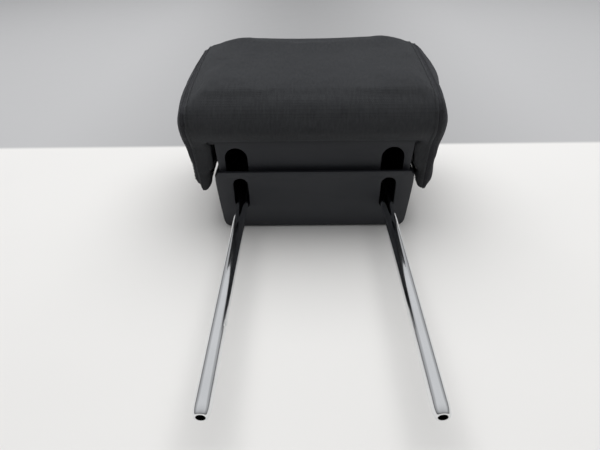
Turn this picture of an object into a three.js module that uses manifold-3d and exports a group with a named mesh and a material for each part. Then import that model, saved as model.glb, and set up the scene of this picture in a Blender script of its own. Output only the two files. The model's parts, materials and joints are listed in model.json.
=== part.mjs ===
// Head restraint on two posts: a bent tube stay, a moulded rear shell that tilts on the stay's
// crossbar, and a cushion carrier that slides forward out of the shell on guide rods and a ratchet.
// Millimetres. X runs across the posts, Y along them away from the tips, Z towards the face.
// The origin is on the flat of the rear shell's back, where the part rests.

import * as THREE from "three";
import { mergeVertices } from "three/addons/utils/BufferGeometryUtils.js";
import Module from "manifold-3d";

const wasm = await Module();
wasm.setup();

// ---- Driving sizes ----

const gap = 0.3; // between pieces that touch

// Stay
const postDiameter = 12.2;
const postBore = 8.6;
const postSpacing = 147;
const postHeight = 30; // posts' axis above the rest face
const postReach = 231; // from the shell's end wall to the tips
const bendRadius = 26;
const crossbarDepth = 80; // from the shell's end wall to the crossbar's axis
const swageLength = 11;
const tipDiameter = 8.4;
const tipHole = 6.4;
const notchFromTip = 71;
const notchLength = 6;
const notchDepth = 1.4;

// Motions
const tiltMax = THREE.MathUtils.degToRad(16);
const slideTravel = 29;
const pawlSwing = THREE.MathUtils.degToRad(12);

// Rear shell
const shellWidth = 197;
const shellTaper = 4.5; // how far each side narrows towards the back
const shellLength = 143; // along the posts
const shellRim = 62; // height of the side and crown walls
const endWallTop = 66.5;
const endWallRise = 1.2; // the end wall's rear edge above the rest face
const endWallCorner = 9; // height of the front corners' slope
const endWallSlope = 4; // its width
const restBlend = 30; // how softly the flat runs out
const shellCrownCorner = 26; // seen from above
const crownUnder = 16; // height where the back turns up at the crown
const shellWall = 2.4;
const endWall = 3;
const backCorner = 12;
const restFlat = 92; // length of the flat that the part rests on

// Clearances of the posts in the walls' slots
const slotSide = 1.5;
const slotPlay = 0.6;
const carrierSlotSide = 5; // wider, and set outwards
const carrierSlotShift = 2.8;

// Carrier
const endStep = 7.4; // from the shell's end wall face back to the carrier's
const carrierInset = 2.8; // from the shell's outer side to the carrier's
const carrierWaistInset = 4.3; // the same at the top of the shell's end wall
const carrierFootInset = 8; // the same at its lowest edge
const carrierFoot = 45; // lowest edge of the carrier's end wall
const deckTop = 96.6;
const deckWall = 3;
const carrierWall = 2.5;
const skirtWall = 2;
const skirtGap = 5.1; // from the shell's side walls out to the skirts
const crownGap = 4.2; // from the shell's crown wall out to the crown skirt
const skirtFoot = 61;
const clipWall = 1;
const clipHeight = 6.7;

// Cushion
const fabric = 2; // covers with their backing
const wingTip = 39;
const wingWidth = 18;
const wingStep = 58; // height where the covers end inside the wings
const cushionOverhang = 25.5; // the cushion's side past the shell's
const cushionTop = 151; // the face's shoulders, over the origin
const cushionRise = 0.1; // how steeply the face rises towards the crown
const cushionBulge = 4; // how far the sides stand out at half length
const cushionDish = 4; // how far the face's middle is hollowed
const cushionLip = 4; // its lower end past the shell's end wall
const cushionPastCrown = 20; // its crown past the shell's
const cushionCorner = 26; // seen from above
const cushionSteps = 6; // sections along the cushion
const seamInset = 10; // side seams, in from the cushion's sides

// Guides and clamps
const rodDiameter = 8;
const rodAcross = 100;
const rodY = 38;
const bushWall = 1.7;
const bushLength = 20;
const bossWall = 1.7;
const bossFoot = 41;
const saddleAt = 30;
const saddleWidth = 16;
const saddleLength = 42;
const capTop = 46;
const frictionWall = 1.9;
const screwDiameter = 4;
const screwSpread = 14;
const padHeight = 6;

// Ratchet
const pitch = slideTravel / 4;
const toothDepth = 4;
const rackFace = -27; // tips of the teeth
const rackBack = 11; // from the teeth's roots back to the foot's screw
const rackSpine = 5;
const rackFootWall = 3;
const rackWidth = 12;
const rackLand = 0.5; // over its top notch
const pawlY = -19;
const pawlZ = 72;
const pawlArm = 17;
const pawlWidth = 6;
const pinDiameter = 4;
const earAt = 8.2;
const earWall = 2.5;

// ---- Sizes that follow ----

const postRadius = postDiameter / 2;
const postX = postSpacing / 2;
const endY = -75; // outer face of the shell's end wall
const tipY = endY - postReach;
const crossbarY = endY + crossbarDepth;
const crownY = endY + shellLength;
const shellHalf = shellWidth / 2;
const shellBackWidth = shellWidth - 2 * shellTaper;
const carrierWidth = shellWidth - 2 * carrierInset;
const carrierWaist = shellWidth - 2 * carrierWaistInset; // its end wall, level with the shell's
const carrierFootWidth = shellWidth - 2 * carrierFootInset;
const cushionHalf = shellHalf + cushionOverhang;
const cushionFront = -endY + cushionLip;
const cushionCrown = crownY + cushionPastCrown;
const seamAt = cushionHalf - seamInset;
const slotHalf = postRadius + slotSide;
const slotLow = postHeight - postRadius - slotPlay;
const slotHigh =
  postHeight + crossbarDepth * Math.tan(tiltMax) + postRadius / Math.cos(tiltMax) + slotPlay;
const carrierY = endY + endStep;
const carrierSlotHigh = slotHigh + slideTravel + gap;
const deckLow = deckTop - deckWall;
const skirtIn = shellHalf + skirtGap;
const skirtOut = skirtIn + skirtWall;
const crownSkirtIn = crownY + crownGap;
const crownSkirtOut = crownSkirtIn + skirtWall;
const throatX = skirtOut + gap + clipWall + gap;
const throatY = crownSkirtOut + gap + clipWall + gap;
const wingInner = skirtIn - gap - clipWall + 0.5;
const rodRadius = rodDiameter / 2;
const bushIn = rodRadius + gap;
const bushOut = bushIn + bushWall;
const bossIn = bushOut + gap;
const bossOut = bossIn + bossWall;
const rodTop = shellRim;
const rodFoot = shellWall + 2;
const frictionIn = postRadius + gap;
const frictionOut = frictionIn + frictionWall;
const seatRadius = frictionOut + gap;
const screwRadius = screwDiameter / 2;

// ---- Solids ----

function solid(geometry) {
  const bare = geometry.clone();
  bare.deleteAttribute("normal");
  bare.deleteAttribute("uv");
  const merged = mergeVertices(bare, 1e-4);
  return new wasm.Manifold(
    new wasm.Mesh({
      numProp: 3,
      vertProperties: merged.attributes.position.array,
      triVerts: new Uint32Array(merged.index.array),
    }),
  );
}

function geometryOf(body) {
  const mesh = body.getMesh();
  const geometry = new THREE.BufferGeometry();
  geometry.setAttribute("position", new THREE.BufferAttribute(mesh.vertProperties, 3));
  geometry.setIndex(new THREE.BufferAttribute(mesh.triVerts, 1));
  geometry.computeVertexNormals();
  return geometry;
}

const joined = (bodies) => bodies.reduce((all, body) => all.add(body));
const cut = (body, tools) => tools.reduce((left, tool) => left.subtract(tool), body);

function block([x0, x1], [y0, y1], [z0, z1]) {
  const geometry = new THREE.BoxGeometry(x1 - x0, y1 - y0, z1 - z0);
  geometry.translate((x0 + x1) / 2, (y0 + y1) / 2, (z0 + z1) / 2);
  return solid(geometry);
}

// A round bar along Z at (x, y), or along X at (y, z).
function barZ(radius, x, y, [z0, z1], sides = 24) {
  const geometry = new THREE.CylinderGeometry(radius, radius, z1 - z0, sides);
  geometry.rotateX(Math.PI / 2);
  geometry.translate(x, y, (z0 + z1) / 2);
  return solid(geometry);
}

function barX(radius, y, z, [x0, x1], sides = 24) {
  const geometry = new THREE.CylinderGeometry(radius, radius, x1 - x0, sides);
  geometry.rotateZ(Math.PI / 2);
  geometry.translate((x0 + x1) / 2, y, z);
  return solid(geometry);
}

// An outline pushed along one axis: along X it is drawn in (y, z), along Y in (x, z).
const alongX = new THREE.Matrix4().makeBasis(
  new THREE.Vector3(0, 1, 0),
  new THREE.Vector3(0, 0, 1),
  new THREE.Vector3(1, 0, 0),
);
const alongY = new THREE.Matrix4().makeBasis(
  new THREE.Vector3(1, 0, 0),
  new THREE.Vector3(0, 0, 1),
  new THREE.Vector3(0, -1, 0),
);

function pushed(shape, depth, steps = 1) {
  return new THREE.ExtrudeGeometry(shape, { depth, steps, bevelEnabled: false, curveSegments: 6 });
}

function prismX(shape, [x0, x1]) {
  return solid(pushed(shape, x1 - x0).applyMatrix4(alongX).translate(x0, 0, 0));
}

function prismY(shape, [y0, y1]) {
  return solid(pushed(shape, y1 - y0).applyMatrix4(alongY).translate(0, y1, 0));
}

function prismZ(shape, [z0, z1]) {
  return solid(pushed(shape, z1 - z0).translate(0, 0, z0));
}

// A closed outline through corners [u, v, fillet]. A fillet takes at most half of its edges.
function outline(corners) {
  const shape = new THREE.Shape();
  const count = corners.length;
  const at = (i) => new THREE.Vector2(...corners[(i + count) % count].slice(0, 2));
  for (let i = 0; i < count; i++) {
    const corner = at(i);
    const before = at(i - 1).sub(corner);
    const after = at(i + 1).sub(corner);
    const fillet = corners[i][2] ?? 0;
    const half = Math.abs(before.angleTo(after)) / 2;
    const reach = Math.min(fillet / Math.tan(half), before.length() / 2, after.length() / 2);
    const start = before.normalize().multiplyScalar(reach).add(corner);
    const end = after.normalize().multiplyScalar(reach).add(corner);
    if (i === 0) shape.moveTo(start.x, start.y);
    else shape.lineTo(start.x, start.y);
    if (fillet > 0) shape.quadraticCurveTo(corner.x, corner.y, end.x, end.y);
  }
  shape.closePath();
  return shape;
}

const rectangle = (u0, u1, v0, v1, fillet = 0) =>
  outline([
    [u0, v0, fillet],
    [u1, v0, fillet],
    [u1, v1, fillet],
    [u0, v1, fillet],
  ]);

// An upright slot in (x, z) with round ends, pushed through a wall.
function slotCutter(x, halfWidth, low, high, span) {
  const shape = new THREE.Shape();
  shape.absarc(x, high - halfWidth, halfWidth, 0, Math.PI, false);
  shape.absarc(x, low + halfWidth, halfWidth, Math.PI, 2 * Math.PI, false);
  shape.closePath();
  return prismY(shape, span);
}

const mirrored = (make) => [make(-1), make(1)];

// ---- Stay: one bent tube ----

// The tube's middle line from the left tip round the crossbar to the right tip.
class StayLine extends THREE.Curve {
  constructor() {
    super();
    this.stations = [];
    const bendY = crossbarY - bendRadius;
    const bendX = postX - bendRadius;
    const swageSteps = [0, 0.12, 0.3, 0.55, 0.8, 1];
    for (const step of swageSteps) this.add(-postX, tipY + step * swageLength, 0, 1);
    const bendSteps = 8;
    for (let i = 0; i <= bendSteps; i++) {
      const turn = (i / bendSteps) * (Math.PI / 2);
      const x = -bendX - bendRadius * Math.cos(turn);
      this.add(x, bendY + bendRadius * Math.sin(turn), Math.sin(turn), Math.cos(turn));
    }
    for (const { point, tangent } of [...this.stations].reverse()) {
      this.add(-point.x, point.y, tangent.x, -tangent.y);
    }
  }

  add(x, y, across, along) {
    this.stations.push({
      point: new THREE.Vector3(x, y, postHeight),
      tangent: new THREE.Vector3(across, along, 0),
    });
  }

  at(u) {
    return this.stations[Math.round(u * (this.stations.length - 1))];
  }

  getPointAt(u) {
    return this.at(u).point.clone();
  }

  getTangentAt(u) {
    return this.at(u).tangent.clone();
  }
}

// Draws the tube's ends in to a bullet nose with a smaller hole.
function swage(geometry) {
  const place = geometry.attributes.position;
  for (let i = 0; i < place.count; i++) {
    const along = (place.getY(i) - tipY) / swageLength;
    if (along > 1) continue;
    const x = Math.sign(place.getX(i)) * postX;
    const across = place.getX(i) - x;
    const up = place.getZ(i) - postHeight;
    const radius = Math.hypot(across, up);
    const outside = radius > (postRadius + postBore / 2) / 2;
    const nose = Math.sqrt(Math.max(0, 1 - (1 - along) ** 2));
    const outer = THREE.MathUtils.lerp(tipDiameter / 2, postRadius, nose);
    const inner = THREE.MathUtils.lerp(tipHole / 2, postBore / 2, along);
    const scale = (outside ? outer : inner) / radius;
    place.setX(i, x + across * scale);
    place.setZ(i, postHeight + up * scale);
  }
  return geometry;
}

function stayTube() {
  const ring = new THREE.Shape().absarc(0, 0, postRadius, 0, 2 * Math.PI, false);
  ring.holes.push(new THREE.Path().absarc(0, 0, postBore / 2, 0, 2 * Math.PI, true));
  const line = new StayLine();
  const steps = line.stations.length - 1;
  const tube = solid(
    swage(new THREE.ExtrudeGeometry(ring, { steps, extrudePath: line, curveSegments: 12 })),
  );
  const notchY = tipY + notchFromTip;
  const notches = mirrored((side) => {
    const flat = side * postX + postRadius - notchDepth;
    return block(
      [flat, flat + postRadius],
      [notchY - notchLength / 2, notchY + notchLength / 2],
      [postHeight - postDiameter, postHeight + postDiameter],
    );
  });
  return cut(tube, notches);
}

// ---- Rear shell ----

// The shell's full form drawn in by an inset, with its end wall drawn in by endInset.
function shellForm(inset, endInset, top) {
  const half = shellHalf - inset;
  const backHalf = shellBackWidth / 2 - inset;
  const front = endY + endInset;
  const restStart = -restFlat / 2;
  const restEnd = restFlat / 2;
  const section = outline([
    [-backHalf, inset, backCorner],
    [backHalf, inset, backCorner],
    [half, endWallTop - endWallCorner],
    [half, top],
    [-half, top],
    [-half, endWallTop - endWallCorner],
  ]);
  const side = outline([
    [front, top],
    [front, endWallRise + inset, 2],
    [restStart, inset, restBlend],
    [restEnd, inset, restBlend],
    [crownY - inset, crownUnder + inset, backCorner],
    [crownY - inset, top],
  ]);
  const plan = outline([
    [-half, front, 3],
    [half, front, 3],
    [half, crownY - inset, shellCrownCorner],
    [-half, crownY - inset, shellCrownCorner],
  ]);
  return prismY(section, [front, crownY - inset])
    .intersect(prismX(side, [-half, half]))
    .intersect(prismZ(plan, [inset, top]));
}

function rearShell() {
  const aboveRim = block(
    [-shellWidth, shellWidth],
    [endY + endWall + gap, crownY + 1],
    [shellRim, endWallTop + 1],
  );
  const hollow = shellForm(shellWall, endWall, endWallTop + 1);
  const slots = mirrored((side) =>
    slotCutter(side * postX, slotHalf, slotLow, slotHigh, [endY - 1, endY + endWall + 1]),
  );
  const floor = [shellWall / 2, padHeight];
  const bosses = mirrored((side) =>
    barZ(rodRadius + 4, (side * rodAcross) / 2, rodY, [shellWall / 2, 10]),
  );
  const pads = mirrored((side) =>
    block(
      [side * saddleAt - saddleWidth / 2, side * saddleAt + saddleWidth / 2],
      [crossbarY - saddleLength / 2, crossbarY + saddleLength / 2],
      floor,
    ),
  );
  const rackPad = block([-rackWidth / 2, rackWidth / 2], rackSpan, floor);
  const holes = [
    ...mirrored((side) =>
      barZ(rodRadius + gap, (side * rodAcross) / 2, rodY, [rodFoot - gap, 11]),
    ),
    ...screwPlaces.map(([x, y]) => barZ(screwRadius + gap, x, y, [shellWall, padHeight + 1])),
    barZ(screwRadius + gap, 0, rackScrewY, [shellWall, padHeight + 1]),
  ];
  const corners = mirrored((side) =>
    prismY(
      outline([
        [side * (shellHalf + 1), endWallTop - endWallCorner - 1],
        [side * (shellHalf + 1), endWallTop + 1],
        [side * (shellHalf - endWallSlope), endWallTop + 1],
        [side * (shellHalf - endWallSlope), endWallTop],
        [side * shellHalf, endWallTop - endWallCorner],
      ]),
      [endY - 1, endY + endWall + 2 * gap],
    ),
  );
  const form = shellForm(0, 0, endWallTop);
  const walls = cut(form, [hollow, aboveRim, ...slots, ...corners]);
  const inside = joined([...bosses, ...pads, rackPad]).intersect(form);
  return cut(walls.add(inside), holes);
}

// ---- Crossbar clamps ----

const screwPlaces = [-1, 1].flatMap((side) =>
  [-1, 1].map((end) => [side * saddleAt, crossbarY + end * screwSpread]),
);

// A block of one clamp half, with the seat of the friction bush cut out.
function clampHalf(side, heights) {
  const span = [side * saddleAt - saddleWidth / 2, side * saddleAt + saddleWidth / 2];
  const ends = [crossbarY - saddleLength / 2, crossbarY + saddleLength / 2];
  const body = prismX(rectangle(...ends, ...heights, 2), span);
  const seat = barX(seatRadius, crossbarY, postHeight, [span[0] - 1, span[1] + 1]);
  const holes = screwPlaces
    .filter(([x]) => Math.sign(x) === side)
    .map(([x, y]) => barZ(screwRadius + gap, x, y, [heights[0] - 1, heights[1] + 1]));
  return cut(body, [seat, ...holes]);
}

const saddle = (side) => clampHalf(side, [padHeight + gap, postHeight - gap / 2]);
const clampCap = (side) => clampHalf(side, [postHeight + gap / 2, capTop]);

// A split sleeve on the crossbar, inside the clamp.
function frictionBush(side) {
  const span = [side * saddleAt - saddleWidth / 2, side * saddleAt + saddleWidth / 2];
  const split = block([span[0] - 1, span[1] + 1], [crossbarY, crossbarY + seatRadius], [
    postHeight - 0.8,
    postHeight + 0.8,
  ]);
  return cut(barX(frictionOut, crossbarY, postHeight, span), [
    barX(frictionIn, crossbarY, postHeight, [span[0] - 1, span[1] + 1]),
    split,
  ]);
}

// A pan-head screw along Z with a cross-shaped drive, its head standing on a seat.
function screw(x, y, foot, seat) {
  const headRadius = 2.1 * screwRadius;
  const headTop = seat + gap + 1.4 * screwRadius;
  const head = barZ(headRadius, x, y, [seat + gap, headTop]);
  const shank = barZ(screwRadius, x, y, [foot, seat + 2 * gap], 16);
  const arms = [
    [headRadius * 0.5, 0.5],
    [0.5, headRadius * 0.5],
  ].map(([a, b]) => block([x - a, x + a], [y - b, y + b], [headTop - 1.4, headTop + 1]));
  return cut(joined([head, shank]), arms);
}

// ---- Guides ----

const guideRod = (side) =>
  barZ(rodRadius, (side * rodAcross) / 2, rodY, [rodFoot, rodTop]);

function guideBush(side) {
  const x = (side * rodAcross) / 2;
  const span = [bossFoot + gap, bossFoot + bushLength];
  return cut(barZ(bushOut, x, rodY, span), [
    barZ(bushIn, x, rodY, [span[0] - 1, span[1] + 1]),
  ]);
}

// ---- Ratchet ----

const rackSpan = [rackFace - toothDepth - rackBack - 4, rackFace - toothDepth];
const rackScrewY = rackFace - toothDepth - rackBack;

// Where the pawl's nose stands when it has dropped in.
function noseDropped() {
  const y = rackFace + 2 * gap - pawlY;
  const z = -pawlArm;
  const turn = -pawlSwing;
  return {
    y: pawlY + y * Math.cos(turn) - z * Math.sin(turn),
    z: pawlZ + y * Math.sin(turn) + z * Math.cos(turn),
  };
}

function ratchetRack() {
  const root = rackFace - toothDepth;
  const foot = padHeight + gap;
  const gapAtTip = 0.4 * pitch;
  const gapAtRoot = 0.26 * pitch;
  const first = noseDropped().z - gap;
  const rackTop = first + gapAtTip + rackLand;
  const shape = new THREE.Shape();
  shape.moveTo(rackSpan[0], foot);
  shape.lineTo(rackFace, foot);
  for (let tooth = Math.floor((first - foot) / pitch); tooth >= 0; tooth--) {
    const middle = first - tooth * pitch;
    if (middle - gapAtTip < foot + 2) continue;
    shape.lineTo(rackFace, middle - gapAtTip);
    shape.lineTo(root, middle - gapAtRoot);
    shape.lineTo(root, middle + gapAtRoot);
    shape.lineTo(rackFace, middle + gapAtTip);
  }
  shape.lineTo(rackFace, rackTop);
  shape.lineTo(root - rackSpine, rackTop);
  shape.lineTo(root - rackSpine, foot + rackFootWall);
  shape.lineTo(rackSpan[0], foot + rackFootWall);
  shape.closePath();
  const hole = barZ(screwRadius + gap, 0, rackScrewY, [foot - 1, foot + 2 * rackFootWall]);
  return cut(prismX(shape, [-rackWidth / 2, rackWidth / 2]), [hole]);
}

function pawl() {
  const nose = rackFace + 2 * gap;
  const arm = outline([
    [pawlY - 3, pawlZ],
    [pawlY - 3, pawlZ - pawlArm + 2],
    [nose, pawlZ - pawlArm + 1.1, 0.4],
    [nose, pawlZ - pawlArm - 1.1, 0.4],
    [pawlY - 2, pawlZ - pawlArm - 2.2, 1],
    [pawlY + 3, pawlZ - pawlArm, 2],
    [pawlY + 3, pawlZ],
  ]);
  const width = [-pawlWidth / 2, pawlWidth / 2];
  const hub = barX(pinDiameter / 2 + 2.4, pawlY, pawlZ, width);
  const bore = barX(pinDiameter / 2 + gap, pawlY, pawlZ, [-pawlWidth, pawlWidth]);
  return cut(joined([prismX(arm, width), hub]), [bore]);
}

const pawlPin = () =>
  barX(pinDiameter / 2, pawlY, pawlZ, [-earAt - earWall - 0.5, earAt + earWall + 0.5], 20);

// Three close turns of wire round the pin, beside the pawl.
function pawlSpring() {
  const wire = 0.5;
  const turns = 3;
  const coil = pinDiameter / 2 + gap + wire + 0.2;
  const start = pawlWidth / 2 + gap + wire;
  class Helix extends THREE.Curve {
    getPoint(t) {
      const turn = t * turns * 2 * Math.PI;
      const x = start + t * turns * (2 * wire + 0.15);
      return new THREE.Vector3(x, pawlY + coil * Math.cos(turn), pawlZ + coil * Math.sin(turn));
    }
  }
  const section = new THREE.Shape().absarc(0, 0, wire, 0, 2 * Math.PI, false);
  return solid(
    new THREE.ExtrudeGeometry(section, {
      steps: turns * 14,
      extrudePath: new Helix(),
      curveSegments: 3,
    }),
  );
}

// ---- Carrier ----

function carrierTray() {
  const plan = (inset) =>
    outline([
      [-skirtOut + inset, carrierY],
      [skirtOut - inset, carrierY],
      [skirtOut - inset, crownSkirtOut - inset, 22 - inset],
      [-skirtOut + inset, crownSkirtOut - inset, 22 - inset],
    ]);
  const half = carrierWidth / 2;
  const waist = carrierWaist / 2;
  const foot = carrierFootWidth / 2;
  const endPlate = outline([
    [-foot, carrierFoot, 3],
    [foot, carrierFoot, 3],
    [waist, endWallTop],
    [half, deckTop - gap],
    [-half, deckTop - gap],
    [-waist, endWallTop],
  ]);
  const skirt = cut(prismZ(plan(0), [skirtFoot, deckLow + 1]), [
    prismZ(plan(skirtWall), [skirtFoot - 1, deckLow + 2]),
    block([-skirtOut, skirtOut], [carrierY - 1, carrierY + carrierWall + 6], [0, deckLow]),
  ]);
  const bosses = mirrored((side) =>
    barZ(bossOut, (side * rodAcross) / 2, rodY, [bossFoot, deckLow + 1]),
  );
  const ears = mirrored((side) =>
    prismX(
      outline([
        [pawlY - 5, deckLow + 1],
        [pawlY - 5, pawlZ - 5, 5],
        [pawlY + 5, pawlZ - 5, 5],
        [pawlY + 5, deckLow + 1],
      ]),
      side < 0 ? [-earAt - earWall, -earAt] : [earAt, earAt + earWall],
    ),
  );
  const holes = [
    ...mirrored((side) =>
      barZ(bossIn, (side * rodAcross) / 2, rodY, [bossFoot - 1, deckLow]),
    ),
    ...mirrored((side) =>
      slotCutter(
        side * (postX + carrierSlotShift),
        postRadius + carrierSlotSide,
        carrierFoot - 2 * postDiameter,
        carrierSlotHigh,
        [carrierY - 1, carrierY + carrierWall + 1],
      ),
    ),
    barX(pinDiameter / 2 + gap, pawlY, pawlZ, [-skirtIn / 2, skirtIn / 2]),
  ];
  const whole = joined([
    prismZ(plan(0), [deckLow, deckTop]),
    prismY(endPlate, [carrierY, carrierY + carrierWall]),
    skirt,
    ...bosses,
    ...ears,
  ]);
  return cut(whole, holes);
}

// A U strip that holds the fabric's hem on a skirt's lower edge, drawn in (across, z).
function clipOutline(inner, outer) {
  const foot = skirtFoot - gap - clipWall;
  const top = foot + clipHeight;
  return outline([
    [inner - gap - clipWall, foot],
    [outer + gap + clipWall, foot],
    [outer + gap + clipWall, top],
    [outer + gap, top],
    [outer + gap, foot + clipWall],
    [inner - gap, foot + clipWall],
    [inner - gap, top],
    [inner - gap - clipWall, top],
  ]);
}

function sideClip(side) {
  const span = [carrierY + carrierWall + 10, crownSkirtOut - 26];
  const ends = side < 0 ? [-skirtOut, -skirtIn] : [skirtIn, skirtOut];
  return prismY(clipOutline(...ends), span);
}

const crownClip = () =>
  prismX(clipOutline(crownSkirtIn, crownSkirtOut), [-skirtOut + 28, skirtOut - 28]);

// A flat strip on the deck that the cover's lower hem is tucked behind.
const lowerClip = () =>
  block(
    [-carrierWidth / 2 + 4, carrierWidth / 2 - 4],
    [carrierY + 0.5, carrierY + 2.5],
    [deckTop + gap, deckTop + gap + 6],
  );

// ---- Cushion ----

// Moves the points of an open line to its left by a distance.
function shifted(points, distance) {
  return points.map((point, i) => {
    const before = points[Math.max(0, i - 1)];
    const after = points[Math.min(points.length - 1, i + 1)];
    const along = after.clone().sub(before).normalize();
    return new THREE.Vector2(point.x - along.y * distance, point.y + along.x * distance);
  });
}

const smooth = (points, count) =>
  new THREE.SplineCurve(points.map(([u, v]) => new THREE.Vector2(u, v))).getPoints(count);

// The cushion's line across, from the right wing's inner face over the face to the left's.
function sectionLine() {
  const right = [
    [wingInner, wingStep],
    [wingInner + 1, wingTip + 8],
    [wingInner + wingWidth / 2, wingTip],
    [wingInner + wingWidth, wingTip + 8],
    [cushionHalf - 4, wingTip + 30],
    [cushionHalf - 1, wingTip + 50],
    [cushionHalf, wingTip + 64],
    [cushionHalf - 1, cushionTop - 24],
    [cushionHalf - 6, cushionTop - 12],
    [cushionHalf - 16, cushionTop - 4.5],
    [cushionHalf - 34, cushionTop],
    [cushionHalf / 3, cushionTop - 0.7 * cushionDish],
  ];
  const left = right.map(([x, z]) => [-x, z]).reverse();
  return smooth([...right, [0, cushionTop - cushionDish], ...left], 60);
}

// The height of the face's shoulders, which rises towards the crown.
const faceAt = (y) => cushionTop + cushionRise * y;

// Lifts a form made for the origin's section, from nothing at the deck to all of it at the
// face, and bulges its sides, from nothing at the wings' inner faces to all of it outside.
function raised(geometry) {
  const place = geometry.attributes.position;
  const middle = (cushionCrown - cushionFront) / 2;
  const half = (cushionCrown + cushionFront) / 2;
  for (let i = 0; i < place.count; i++) {
    const [x, y, z] = [place.getX(i), place.getY(i), place.getZ(i)];
    const up = THREE.MathUtils.clamp((z - deckTop) / (cushionTop - deckTop), 0, 1);
    const out = THREE.MathUtils.clamp((Math.abs(x) - wingInner) / (cushionHalf - wingInner), 0, 1);
    const bulge = cushionBulge * (1 - ((y - middle) / half) ** 2);
    place.setX(i, x + Math.sign(x) * out * bulge);
    place.setZ(i, z + up * cushionRise * y);
  }
  return geometry;
}

// Its line from the lower end's foot over the face to the crown's foot, in (y, z).
function sideLine() {
  return smooth(
    [
      [-cushionFront + 14, 30],
      [-cushionFront + 12, 60],
      [-cushionFront + 9, deckTop - 8],
      [-cushionFront + 3, deckTop + 6],
      [-cushionFront, deckTop + 18],
      [-cushionFront + 3, faceAt(-cushionFront) - 12],
      [-cushionFront + 12, faceAt(-cushionFront) - 3],
      [-cushionFront + 30, faceAt(-cushionFront) + 3],
      [0, faceAt(0) + 1],
      [cushionCrown - 40, faceAt(cushionCrown - 40)],
      [cushionCrown - 24, faceAt(cushionCrown) - 6],
      [cushionCrown - 7, faceAt(cushionCrown) - 26],
      [cushionCrown, faceAt(cushionCrown) - 62],
      [cushionCrown - 4, 54],
      [cushionCrown - 10, 40],
    ],
    44,
  );
}

// The covered cushion's form drawn in by an inset. The throat is the hollow that holds the
// carrier, drawn by its half width, its crown end and its top; stepX is where the wings begin.
function cushionForm(inset, { halfWidth, crown, top, stepX }) {
  const section = new THREE.Shape([
    ...shifted(sectionLine(), inset),
    new THREE.Vector2(-stepX, wingStep),
    new THREE.Vector2(-halfWidth, wingStep),
    new THREE.Vector2(-halfWidth, top),
    new THREE.Vector2(halfWidth, top),
    new THREE.Vector2(halfWidth, wingStep),
    new THREE.Vector2(stepX, wingStep),
  ]);
  const side = new THREE.Shape([
    ...shifted(sideLine().reverse(), inset),
    new THREE.Vector2(-cushionFront + 16, 20),
    new THREE.Vector2(cushionCrown - 14, 20),
  ]);
  const width = cushionHalf + cushionBulge - inset;
  const plan = rectangle(
    -width,
    width,
    -cushionFront - 2 + inset,
    cushionCrown + 1 - inset,
    cushionCorner,
  );
  const crownWall = block([-skirtOut, skirtOut], [crown, cushionCrown + 2], [40, cushionTop - 40]);
  const length = cushionCrown + cushionFront + 4;
  const along = pushed(section, length, cushionSteps).applyMatrix4(alongY);
  return solid(raised(along.translate(0, cushionCrown + 2, 0)))
    .add(crownWall)
    .intersect(prismX(side, [-width - 1, width + 1]))
    .intersect(prismZ(plan, [20, cushionTop + 10]));
}

const throat = (grow, stepX) => ({
  halfWidth: throatX - grow,
  crown: throatY - grow,
  top: deckTop + gap - grow,
  stepX,
});

// The covers' skin, all in one before it is cut at the seams.
function coverSkin() {
  const inside = wingInner + fabric;
  const whole = cushionForm(0, throat(0, wingInner));
  return whole.subtract(cushionForm(fabric, throat(4, inside)));
}

function coverPanel(skin, [x0, x1]) {
  return skin.intersect(block([x0, x1], [-cushionFront - 5, cushionCrown + 5], [0, 200]));
}

function foamCore() {
  const inset = fabric + gap;
  const hem = block(
    [-carrierWidth / 2 + 3, carrierWidth / 2 - 3],
    [carrierY - 20, carrierY + 3.5],
    [deckTop - 1, deckTop + 2 * gap + 6.5],
  );
  return cushionForm(inset, throat(0, wingInner + inset)).subtract(hem);
}

// ---- Assembly ----

const finish = (color, roughness, metalness = 0) =>
  new THREE.MeshStandardMaterial({ color, roughness, metalness });

const chrome = finish("#c9cccd", 0.08, 1);
const plastic = finish("#2b2d31", 0.55);
const cloth = finish("#3b3d40", 0.9);
const sideCloth = finish("#2b2b2f", 0.9);
const foam = finish("#8d8a80", 0.95);
const steel = finish("#8b8e90", 0.35, 1);
const acetal = finish("#d8d6cc", 0.45);

function named(name, body, material) {
  const mesh = new THREE.Mesh(geometryOf(body), material);
  mesh.name = name;
  return mesh;
}

function pair(name, make, material) {
  return [named(`${name}_left`, make(-1), material), named(`${name}_right`, make(1), material)];
}

const stay = new THREE.Group();
stay.add(named("stay_tube", stayTube(), chrome));

const housing = new THREE.Group();
housing.add(
  named("rear_shell", rearShell(), plastic),
  ...pair("saddle", saddle, plastic),
  ...pair("clamp_cap", clampCap, plastic),
  ...pair("friction_bush", frictionBush, acetal),
  ...pair("guide_rod", guideRod, steel),
  named("ratchet_rack", ratchetRack(), acetal),
  named("rack_screw", screw(0, rackScrewY, shellWall + gap, padHeight + gap + rackFootWall), steel),
);
screwPlaces.forEach(([x, y], i) => {
  housing.add(named(`clamp_screw_${i + 1}`, screw(x, y, shellWall + gap, capTop), steel));
});

const skin = coverSkin();
const reach = cushionHalf + cushionBulge + 5;
const carrier = new THREE.Group();
carrier.add(
  named("carrier_tray", carrierTray(), plastic),
  ...pair("guide_bush", guideBush, acetal),
  ...pair("side_clip", sideClip, plastic),
  named("crown_clip", crownClip(), plastic),
  named("lower_clip", lowerClip(), plastic),
  named("foam_core", foamCore(), foam),
  named("face_cover", coverPanel(skin, [-seamAt + gap / 2, seamAt - gap / 2]), cloth),
  named("side_cover_left", coverPanel(skin, [-reach, -seamAt - gap / 2]), sideCloth),
  named("side_cover_right", coverPanel(skin, [seamAt + gap / 2, reach]), sideCloth),
  named("pawl_pin", pawlPin(), steel),
  named("pawl_spring", pawlSpring(), steel),
);

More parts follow.
